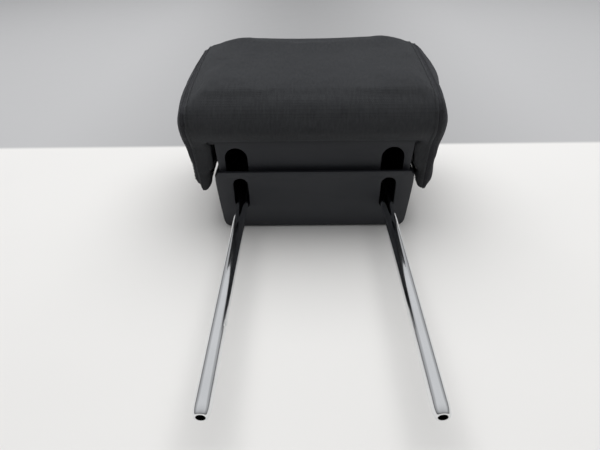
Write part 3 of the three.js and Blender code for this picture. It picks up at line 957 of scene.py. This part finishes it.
def shaped(mesh):
    """Fills out the shoulders, draws the wings to their tips, rounds the lower end."""
    rows = places(mesh)
    x, y, z = np.abs(rows[:, 0]), rows[:, 1], rows[:, 2]
    side = np.sign(rows[:, 0])
    below = FACE_HIGH[2] + FACE_RISE * (y - FACE_HIGH[1]) - z
    outer = ramp(x, 78 * MM, 118 * MM)
    along = ramp(y, -90 * MM, -30 * MM) * (1 - ramp(y, 62 * MM, 90 * MM))
    shoulder = SHOULDER_SWELL * outer * along * swell_at(below, 24 * MM, 17 * MM)
    slack = -RIGHT_SLACK * (side > 0) * outer * ramp(below, 2 * MM, 14 * MM)
    slack *= (1 - 0.7 * ramp(z, 100 * MM, 50 * MM)) * (1 - ramp(y, -20 * MM, 22 * MM))
    wing = 1 - ramp(z, 38 * MM, 66 * MM)
    flare = WING_FLARE * wing * (1 - ramp(x, 106 * MM, 116 * MM))
    tuck = TIP_TUCK * wing * ramp(x, 112 * MM, 120 * MM)
    lift = CROWN_LIFT * ramp(y, 20 * MM, 70 * MM) * ramp(z, 118 * MM, 142 * MM)
    lift *= 1 - 1.5 * ramp(x, 74 * MM, 104 * MM)
    drop = TIP_DROP * (1 - ramp(z, 38 * MM, 60 * MM)) * (1 - ramp(y, -60 * MM, 0.0))
    fold = (
        CORNER_FOLD
        * (1 - ramp(y, -64 * MM, -57 * MM))
        * (1 - ramp(x, 108 * MM, 118 * MM))
        * ramp(x, 90 * MM, 100 * MM)
        * ramp(z, 58 * MM, 68 * MM)
        * (1 - ramp(z, 92 * MM, 97 * MM))
    )
    roll = LOWER_ROLL * ramp(-y, 30 * MM, 62 * MM) * swell_at(z, 113 * MM, 12 * MM)
    stoop = LOWER_STOOP * ramp(-y, 36 * MM, 80 * MM) * ramp(z, 120 * MM, 140 * MM)
    rows[:, 1] -= roll
    rows[:, 0] += side * (shoulder + slack + flare - tuck - fold)
    rows[:, 2] += lift - drop - stoop
    move_to(mesh, rows)
    return mesh


def in_throat(rows, margin=0.0):
    """Which points lie in the hollow that holds the carrier."""
    x, y, z = np.abs(rows[:, 0]), rows[:, 1], rows[:, 2]
    half = TRAY_HIGH[0] + THROAT_ROOM + margin
    back = TRAY_HIGH[1] + THROAT_ROOM + margin
    top = TRAY_HIGH[2] + THROAT_HEADROOM + margin
    return (x < half) & (y < back) & (z < top)


def stuffed(mesh, cushion):
    """Blows the covers up a little with cloth under pressure, its hems held."""
    start = places(mesh)
    piece = link("work", mesh)
    held = piece.vertex_groups.new(name="held")
    inside = in_throat(start, HELD_MARGIN) | (start[:, 2] < HELD_BELOW)
    held.add([int(k) for k in np.nonzero(inside)[0]], 1.0, "REPLACE")
    cloth = piece.modifiers.new("cloth", "CLOTH")
    cloth.settings.quality = 5
    cloth.settings.mass = 0.3
    cloth.settings.use_pressure = True
    cloth.settings.uniform_pressure_force = cushion.pressure
    cloth.settings.vertex_group_mass = "held"
    cloth.settings.effector_weights.gravity = 0.0
    cloth.collision_settings.use_collision = False
    cloth.collision_settings.use_self_collision = False
    scene = bpy.context.scene
    for step in range(1, CLOTH_STEPS + 1):
        scene.frame_set(step)
    result = evaluated(piece)
    moved = places(result) - start
    bpy.data.objects.remove(piece)
    bpy.data.meshes.remove(result)
    scene.frame_set(1)
    out = normals(mesh)
    lift = np.clip((moved * out).sum(1), -SINK_MOST, cushion.swell)
    move_to(mesh, start + out * lift[:, None])
    return relax(mesh, 3)


def cushion_form():
    """The whole covered cushion as one smooth closed form."""
    if "form" in FORM:
        return FORM["form"]
    cushion = bpy.context.scene.restraint_cushion
    mesh = mesh_from(node_copy("foam_core", *COVER_NODES), "form")
    mesh = through(mesh, "REMESH", mode="VOXEL", voxel_size=cushion.voxel)
    mesh = relax(mesh, cushion.rounding)
    mesh = stuffed(mesh, cushion)
    mesh = shaped(mesh)
    mesh = through(mesh, "SUBSURF", levels=1, render_levels=1)
    FORM["form"] = mesh
    return mesh


def rounded_loop(low, high, radius, steps=10):
    """A closed rounded rectangle as rows of two numbers."""
    rows = []
    (u0, v0), (u1, v1) = low, high
    corners = [(u1, v1, 0), (u0, v1, 1), (u0, v0, 2), (u1, v0, 3)]
    for u, v, quarter in corners:
        cu = u - radius if u == u1 else u + radius
        cv = v - radius if v == v1 else v + radius
        for k in range(steps + 1):
            turn = (quarter + k / steps) * math.pi / 2
            rows.append((cu + radius * math.cos(turn), cv + radius * math.sin(turn)))
    return np.array(rows)


def around(points, loop):
    """How far round a closed loop the nearest place to each point is."""
    start = loop
    step = np.roll(loop, -1, axis=0) - loop
    length = np.linalg.norm(step, axis=1)
    before = np.concatenate([[0.0], np.cumsum(length)[:-1]])
    keep = length > 1e-9
    start, step, length, before = start[keep], step[keep], length[keep], before[keep]
    result = np.zeros(len(points))
    for first in range(0, len(points), 4000):
        part = points[first : first + 4000, None, :]
        share = ((part - start) * step).sum(2) / (length**2)
        share = np.clip(share, 0, 1)
        gap = np.linalg.norm(part - start - share[..., None] * step, axis=2)
        best = gap.argmin(1)
        index = np.arange(len(best))
        result[first : first + 4000] = before[best] + share[index, best] * length[best]
    return result


def lay_cloth(mesh, panel):
    """Writes the panel's own cloth map, in metres along warp and weft."""
    rows = places(mesh)
    if panel == "face":
        across, along = rows[:, 0], around(rows[:, 1:], rounded_loop(*FACE_LOOP))
    else:
        side = np.abs(rows[:, 0])
        across = rows[:, 1] - SIDE_LEAN * side
        along = around(np.stack([side, rows[:, 2]], 1), rounded_loop(*SIDE_LOOP))
    layer = mesh.uv_layers.new(name=CLOTH_MAP)
    corners = np.zeros(len(mesh.loops), np.int32)
    mesh.loops.foreach_get("vertex_index", corners)
    flat = np.stack([across, along], 1)[corners]
    layer.data.foreach_set("uv", flat.astype(np.float32).ravel())


def draw_in(mesh, cushion):
    """Pulls the cloth in along the side seams and lets it swell beside them."""
    rows, out = places(mesh), normals(mesh)
    across = np.abs(rows[:, 0] - cushion.seam_shift)
    far = np.abs(across - cushion.seam_at) / MM
    depth = -cushion.seam_depth * swell_at(far, 0.0, SEAM_WIDTH)
    pucker = PUCKER * swell_at(far, 0.0, PUCKER_WIDTH)
    run = rows[:, 1] + rows[:, 2]
    depth += pucker * np.sin(run * 2 * math.pi / (3 * cushion.stitch_pitch))
    for k, row in enumerate(rows):
        ripple = noise.noise(Vector(row * 34.0)) + 0.5 * noise.noise(Vector(row * 90.0))
        depth[k] += RIPPLE * ripple
    move_to(mesh, rows + out * depth[:, None])
    return mesh


def cover_panel(panel, sign):
    """One cover cut from the form at the side seams, as a sheet with thickness."""
    cushion = bpy.context.scene.restraint_cushion
    bm = bmesh.new()
    bm.from_mesh(FORM["seamed"])
    limit = cushion.seam_at

    def keep(face):
        across = face.calc_center_median().x - cushion.seam_shift
        if panel == "face":
            return abs(across) < limit
        return across * sign > limit

    gone = [face for face in bm.faces if not keep(face)]
    bmesh.ops.delete(bm, geom=gone, context="FACES")
    centres = np.array([face.calc_center_median()[:] for face in bm.faces])
    hidden = in_throat(centres) & (centres[:, 1] > TRAY_LOW[1] + HEM_DEPTH)
    bm.faces.ensure_lookup_table()
    gone = [bm.faces[int(k)] for k in np.nonzero(hidden)[0]]
    bmesh.ops.delete(bm, geom=gone, context="FACES")
    mesh = mesh_from(bm, panel)
    lay_cloth(mesh, panel)
    mesh = through(
        mesh, "SOLIDIFY", thickness=cushion.cover, offset=-1.0,
        use_even_offset=False,
    )
    shade(mesh, 60)
    return mesh


class RESTRAINT_OT_covers(Operator):
    """Makes the three sewn covers over the foam"""

    bl_idname = "restraint.covers"
    bl_label = "Covers"

    def execute(self, context):
        cushion = context.scene.restraint_cushion
        bm = bmesh.new()
        bm.from_mesh(cushion_form())
        for side in (-1, 1):
            for step in SEAM_CUTS:
                cut = side * (cushion.seam_at + step * MM) + cushion.seam_shift
                bmesh.ops.bisect_plane(
                    bm, geom=[*bm.verts, *bm.edges, *bm.faces], dist=1e-7,
                    plane_co=(cut, 0, 0), plane_no=(1, 0, 0),
                )
        FORM["seamed"] = draw_in(mesh_from(bm, "seamed"), cushion)
        rows = [
            ("face_cover_cloth", "face", 1, "face_fabric", "face_cover"),
            ("side_cover_left_cloth", "side", -1, "side_fabric", "side_cover_left"),
            ("side_cover_right_cloth", "side", 1, "side_fabric", "side_cover_right"),
        ]
        for name, panel, sign, slot, node in rows:
            finished(
                name, cover_panel(panel, sign), "carrier", finish(slot), [node]
            )
        return {"FINISHED"}


class RESTRAINT_OT_foam(Operator):
    """Makes the moulded foam core under the covers"""

    bl_idname = "restraint.foam"
    bl_label = "Foam core"

    def execute(self, context):
        mesh = mesh_from(node_copy("foam_core"), "foam")
        mesh = through(mesh, "REMESH", mode="VOXEL", voxel_size=FOAM_VOXEL)
        mesh = shaped(relax(mesh, FOAM_PASSES))
        mesh = through(mesh, "SUBSURF", levels=1, render_levels=1)
        rows, out = places(mesh), normals(mesh)
        depth = np.array([noise.noise(Vector(row * 60.0)) for row in rows])
        move_to(mesh, rows + out * (FOAM_GRAIN * depth[:, None] - FOAM_INSET) * MM)
        shade(mesh, 60)
        core = finished(
            "foam_core_moulding", mesh, "carrier", finish("foam"),
            ["foam_core"],
        )
        return {"FINISHED"}


# ---------------------------------------------------------------------------
# Stitches
# ---------------------------------------------------------------------------

# A stitch's share of the pitch, and its rise in thread radii
STITCH_SHARE = 0.72
STITCH_RISE = 1.1


def seam_line(cut):
    """Where the plane at cut crosses the covers: points and normals, in order."""
    bm = bmesh.new()
    bm.from_mesh(FORM["seamed"])
    tree = BVHTree.FromBMesh(bm)
    made = bmesh.ops.bisect_plane(
        bm, geom=[*bm.verts, *bm.edges, *bm.faces], dist=1e-7,
        plane_co=(cut, 0, 0), plane_no=(1, 0, 0),
    )
    edges = {e for e in made["geom_cut"] if isinstance(e, bmesh.types.BMEdge)}
    loops = []
    while edges:
        edge = min(edges, key=lambda e: (round(e.verts[0].co.y, 6), e.index))
        edges.discard(edge)
        line = list(edge.verts)
        while True:
            onward = [e for e in line[-1].link_edges if e in edges]
            if not onward:
                break
            edges.discard(onward[0])
            line.append(onward[0].other_vert(line[-1]))
        loops.append([v.co.copy() for v in line])
    bm.free()
    line = max(loops, key=len)
    return [(point, tree.find_nearest(point)[1]) for point in line]


def stitch_tree(material):
    """Geometry nodes that sew stitches along lines, each one bent into the cloth."""
    tree = bpy.data.node_groups.new("sewn stitches", "GeometryNodeTree")
    face = tree.interface
    face.new_socket("Lines", in_out="INPUT", socket_type="NodeSocketGeometry")
    sizes = {"Pitch": 4 * MM, "Length": 3 * MM, "Radius": 0.3 * MM, "Rise": 0.4 * MM}
    for name, value in sizes.items():
        socket = face.new_socket(name, in_out="INPUT", socket_type="NodeSocketFloat")
        socket.default_value = value
    face.new_socket("Stitches", in_out="OUTPUT", socket_type="NodeSocketGeometry")
    nodes, links = tree.nodes, tree.links

    def add(kind, **settings):
        node = nodes.new(kind)
        for key, value in settings.items():
            setattr(node, key, value)
        return node

    given, result = add("NodeGroupInput"), add("NodeGroupOutput")
    curve = add("GeometryNodeMeshToCurve")
    spaced = add("GeometryNodeResampleCurve", mode="LENGTH")
    out = add("GeometryNodeInputNamedAttribute", data_type="FLOAT_VECTOR")
    out.inputs["Name"].default_value = "out"
    tangent = add("GeometryNodeInputTangent")
    along = add("FunctionNodeAlignRotationToVector", axis="X")
    upright = add("FunctionNodeAlignRotationToVector", axis="Z", pivot_axis="X")
    arc = add("GeometryNodeCurveArc", mode="RADIUS")
    arc.inputs["Resolution"].default_value = 7
    arc.inputs["Radius"].default_value = 0.5
    arc.inputs["Start Angle"].default_value = 0.0
    arc.inputs["Sweep Angle"].default_value = math.pi
    upended = add("GeometryNodeTransform")
    upended.inputs["Rotation"].default_value = (math.pi / 2, 0.0, 0.0)
    size = add("ShaderNodeCombineXYZ")
    size.inputs["Y"].default_value = 1.0
    doubled = add("ShaderNodeMath", operation="MULTIPLY")
    doubled.inputs[1].default_value = 2.0
    sized = add("GeometryNodeTransform")
    section = add("GeometryNodeCurvePrimitiveCircle", mode="RADIUS")
    section.inputs["Resolution"].default_value = 6
    thread = add("GeometryNodeCurveToMesh")
    thread.inputs["Fill Caps"].default_value = True
    sewn = add("GeometryNodeInstanceOnPoints")
    real = add("GeometryNodeRealizeInstances")
    painted = add("GeometryNodeSetMaterial")
    painted.inputs["Material"].default_value = material
    pairs = [
        (given.outputs["Lines"], curve.inputs["Mesh"]),
        (curve.outputs["Curve"], spaced.inputs["Curve"]),
        (given.outputs["Pitch"], spaced.inputs["Length"]),
        (spaced.outputs["Curve"], sewn.inputs["Points"]),
        (tangent.outputs["Tangent"], along.inputs["Vector"]),
        (along.outputs["Rotation"], upright.inputs["Rotation"]),
        (out.outputs["Attribute"], upright.inputs["Vector"]),
        (upright.outputs["Rotation"], sewn.inputs["Rotation"]),
        (given.outputs["Length"], size.inputs["X"]),
        (given.outputs["Rise"], doubled.inputs[0]),
        (doubled.outputs[0], size.inputs["Z"]),
        (size.outputs[0], sized.inputs["Scale"]),
        (arc.outputs["Curve"], upended.inputs["Geometry"]),
        (upended.outputs["Geometry"], sized.inputs["Geometry"]),
        (sized.outputs["Geometry"], thread.inputs["Curve"]),
        (given.outputs["Radius"], section.inputs["Radius"]),
        (section.outputs["Curve"], thread.inputs["Profile Curve"]),
        (thread.outputs["Mesh"], sewn.inputs["Instance"]),
        (sewn.outputs["Instances"], real.inputs["Geometry"]),
        (real.outputs["Geometry"], painted.inputs["Geometry"]),
        (painted.outputs["Geometry"], result.inputs["Stitches"]),
    ]
    for source, target in pairs:
        links.new(source, target)
    return tree


class RESTRAINT_OT_stitches(Operator):
    """Sews a row of stitches on each side of the side seams"""

    bl_idname = "restraint.stitches"
    bl_label = "Stitches"

    def execute(self, context):
        cushion = context.scene.restraint_cushion
        tree = stitch_tree(finish("thread"))
        for name, side in (("left", -1), ("right", 1)):
            points, outs, edges = [], [], []
            for step in (-1, 1):
                cut = side * (cushion.seam_at + step * cushion.stitch_offset)
                cut += cushion.seam_shift
                first = len(points)
                for point, out in seam_line(cut):
                    points.append(point + out * 0.1 * MM)
                    outs.append(out)
                edges += [(k, k + 1) for k in range(first, len(points) - 1)]
            mesh = bpy.data.meshes.new("seam")
            mesh.from_pydata(points, edges, [])
            layer = mesh.attributes.new("out", "FLOAT_VECTOR", "POINT")
            layer.data.foreach_set("vector", np.array(outs, np.float32).ravel())
            work = link("seam", mesh)
            sewing = work.modifiers.new("sewing", "NODES")
            sewing.node_group = tree
            sizes = {
                "Pitch": cushion.stitch_pitch,
                "Length": cushion.stitch_pitch * STITCH_SHARE,
                "Radius": cushion.thread_radius,
                "Rise": cushion.thread_radius * STITCH_RISE,
            }
            for item in tree.interface.items_tree:
                if item.name in sizes:
                    sewing[item.identifier] = sizes[item.name]
            stitches = evaluated(work)
            bpy.data.objects.remove(work)
            if not stitches.polygons:
                raise RuntimeError("no stitches were made on the " + name)
            stitches.shade_smooth()
            finished(
                "stitches_" + name, stitches, "carrier",
                finish("thread"),
            )
        return {"FINISHED"}


# ---------------------------------------------------------------------------
# Stage
# ---------------------------------------------------------------------------

# The lamps' and the camera's places in metres, and the camera's angles in degrees
OVERHEAD_AT = (0.0, 0.5, 1.5)
FRONT_AT = (0.1, -1.1, 1.2)
CAMERA_AT = (-0.008, -0.4485, 0.284)
CAMERA_PITCH, CAMERA_YAW, CAMERA_ROLL = 37.05, 1.08, -1.09

# Where along each heading the room light has which level
ROOM_AHEAD = ((0.1, 0.36), (0.68, 1.0))
ROOM_UP = ((0.0, 0.20), (0.09, 0.26), (0.26, 0.64), (0.5, 0.76), (0.62, 1.12))


def lamp(name, place, aim, width, depth, power):
    """A soft rectangular lamp at a place, facing a point."""
    light = bpy.data.lights.new(name, "AREA")
    light.shape = "RECTANGLE"
    light.size, light.size_y = width, depth
    light.energy = power
    holder = bpy.data.objects.new(name, light)
    bpy.context.scene.collection.objects.link(holder)
    holder.location = place
    heading = Vector(aim) - Vector(place)
    holder.rotation_mode = "QUATERNION"
    holder.rotation_quaternion = heading.to_track_quat("-Z", "Y")
    return holder


def camera_at(place, pitch, yaw, roll, lens):
    """A camera by its place in metres and its angles in degrees."""
    pitch, yaw, roll = (math.radians(angle) for angle in (pitch, yaw, roll))
    ahead = Vector(
        (
            -math.sin(yaw) * math.cos(pitch),
            math.cos(yaw) * math.cos(pitch),
            -math.sin(pitch),
        )
    )
    level = Vector((math.cos(yaw), math.sin(yaw), 0.0))
    above = level.cross(ahead)
    right = level * math.cos(roll) + above * math.sin(roll)
    up = -level * math.sin(roll) + above * math.cos(roll)
    data = bpy.data.cameras.new("camera")
    data.lens, data.sensor_width = lens, 36.0
    data.clip_start, data.clip_end = 0.01, 50.0
    holder = bpy.data.objects.new("camera", data)
    bpy.context.scene.collection.objects.link(holder)
    turn = Matrix((right, up, -ahead)).transposed().to_4x4()
    holder.matrix_world = Matrix.Translation(place) @ turn
    bpy.context.scene.camera = holder


def light_room(tree, strength):
    """Room light that dims towards the horizon and behind the camera."""
    room = tree.nodes["Background"]
    room.inputs["Strength"].default_value = strength
    heading = tree.nodes.new("ShaderNodeSeparateXYZ")
    direction = tree.nodes.new("ShaderNodeTexCoord").outputs["Generated"]
    tree.links.new(direction, heading.inputs[0])
    shares = []
    for axis, low, stops in (("Y", -1.0, ROOM_AHEAD), ("Z", 0.0, ROOM_UP)):
        span = tree.nodes.new("ShaderNodeMapRange")
        span.inputs["From Min"].default_value = low
        tree.links.new(heading.outputs[axis], span.inputs["Value"])
        falloff = tree.nodes.new("ShaderNodeValToRGB").color_ramp
        tree.links.new(span.outputs[0], tree.nodes[-1].inputs["Fac"])
        while len(falloff.elements) < len(stops):
            falloff.elements.new(0.5)
        for stop, (place, level) in zip(falloff.elements, stops):
            stop.position = place
            stop.color = (level * 0.985, level * 0.99, level, 1.0)
        shares.append(tree.nodes[-1].outputs["Color"])
    both = tree.nodes.new("ShaderNodeVectorMath")
    both.operation = "MULTIPLY"
    for share, socket in zip(shares, both.inputs):
        tree.links.new(share, socket)
    tree.links.new(both.outputs[0], room.inputs["Color"])


class RESTRAINT_OT_stage(Operator):
    """Sets the table, the lamps and the camera"""

    bl_idname = "restraint.stage"
    bl_label = "Stage"

    def execute(self, context):
        stage = context.scene.restraint_stage
        bm = bmesh.new()
        bmesh.ops.create_grid(bm, x_segments=24, y_segments=24, size=6.0)
        mesh = mesh_from(bm, "table")
        table = link("table", mesh)
        mesh.materials.append(
            matt_table("table", stage.floor, stage.wall, stage.junction)
        )
        above = lamp("overhead", OVERHEAD_AT, (0, 0, 0), 2.4, 1.6, stage.overhead)
        before = lamp("front", FRONT_AT, (0, 0, 0.02), 1.6, 0.9, stage.front)
        above.visible_glossy = before.visible_glossy = False
        world = bpy.data.worlds.new("room")
        world.use_nodes = True
        light_room(world.node_tree, stage.sky)
        context.scene.world = world
        context.scene.view_settings.view_transform = "Standard"
        camera_at(CAMERA_AT, CAMERA_PITCH, CAMERA_YAW, CAMERA_ROLL, stage.lens)
        return {"FINISHED"}


# ---------------------------------------------------------------------------
# Add-on
# ---------------------------------------------------------------------------

STEPS = (
    RESTRAINT_OT_stage,
    RESTRAINT_OT_stay,
    RESTRAINT_OT_mouldings,
    RESTRAINT_OT_clamps,
    RESTRAINT_OT_guides,
    RESTRAINT_OT_ratchet,
    RESTRAINT_OT_covers,
    RESTRAINT_OT_stitches,
    RESTRAINT_OT_foam,
)
SETTINGS = {
    "restraint_cushion": RestraintCushion,
    "restraint_look": RestraintLook,
    "restraint_stage": RestraintStage,
}


class RESTRAINT_PT_pieces(Panel):
    """Sizes, colours and pieces of the head restraint"""

    bl_label = "Head restraint"
    bl_space_type = "VIEW_3D"
    bl_region_type = "UI"
    bl_category = "Head restraint"

    def draw(self, context):
        for step in STEPS:
            self.layout.operator(step.bl_idname)
        for name, group in SETTINGS.items():
            part = self.layout.box()
            part.label(text=group.__doc__)
            for key in group.__annotations__:
                part.prop(getattr(context.scene, name), key)


CLASSES = (*SETTINGS.values(), *STEPS, RESTRAINT_PT_pieces)


def register():
    for kind in CLASSES:
        bpy.utils.register_class(kind)
    for name, group in SETTINGS.items():
        setattr(bpy.types.Scene, name, PointerProperty(type=group))


def unregister():
    for name in SETTINGS:
        delattr(bpy.types.Scene, name)
    for kind in reversed(CLASSES):
        bpy.utils.unregister_class(kind)


def main():
    register()
    for step in STEPS:
        group, name = step.bl_idname.split(".")
        getattr(getattr(bpy.ops, group), name)()
    bpy.context.view_layer.update()


if __name__ == "__main__":
    main()
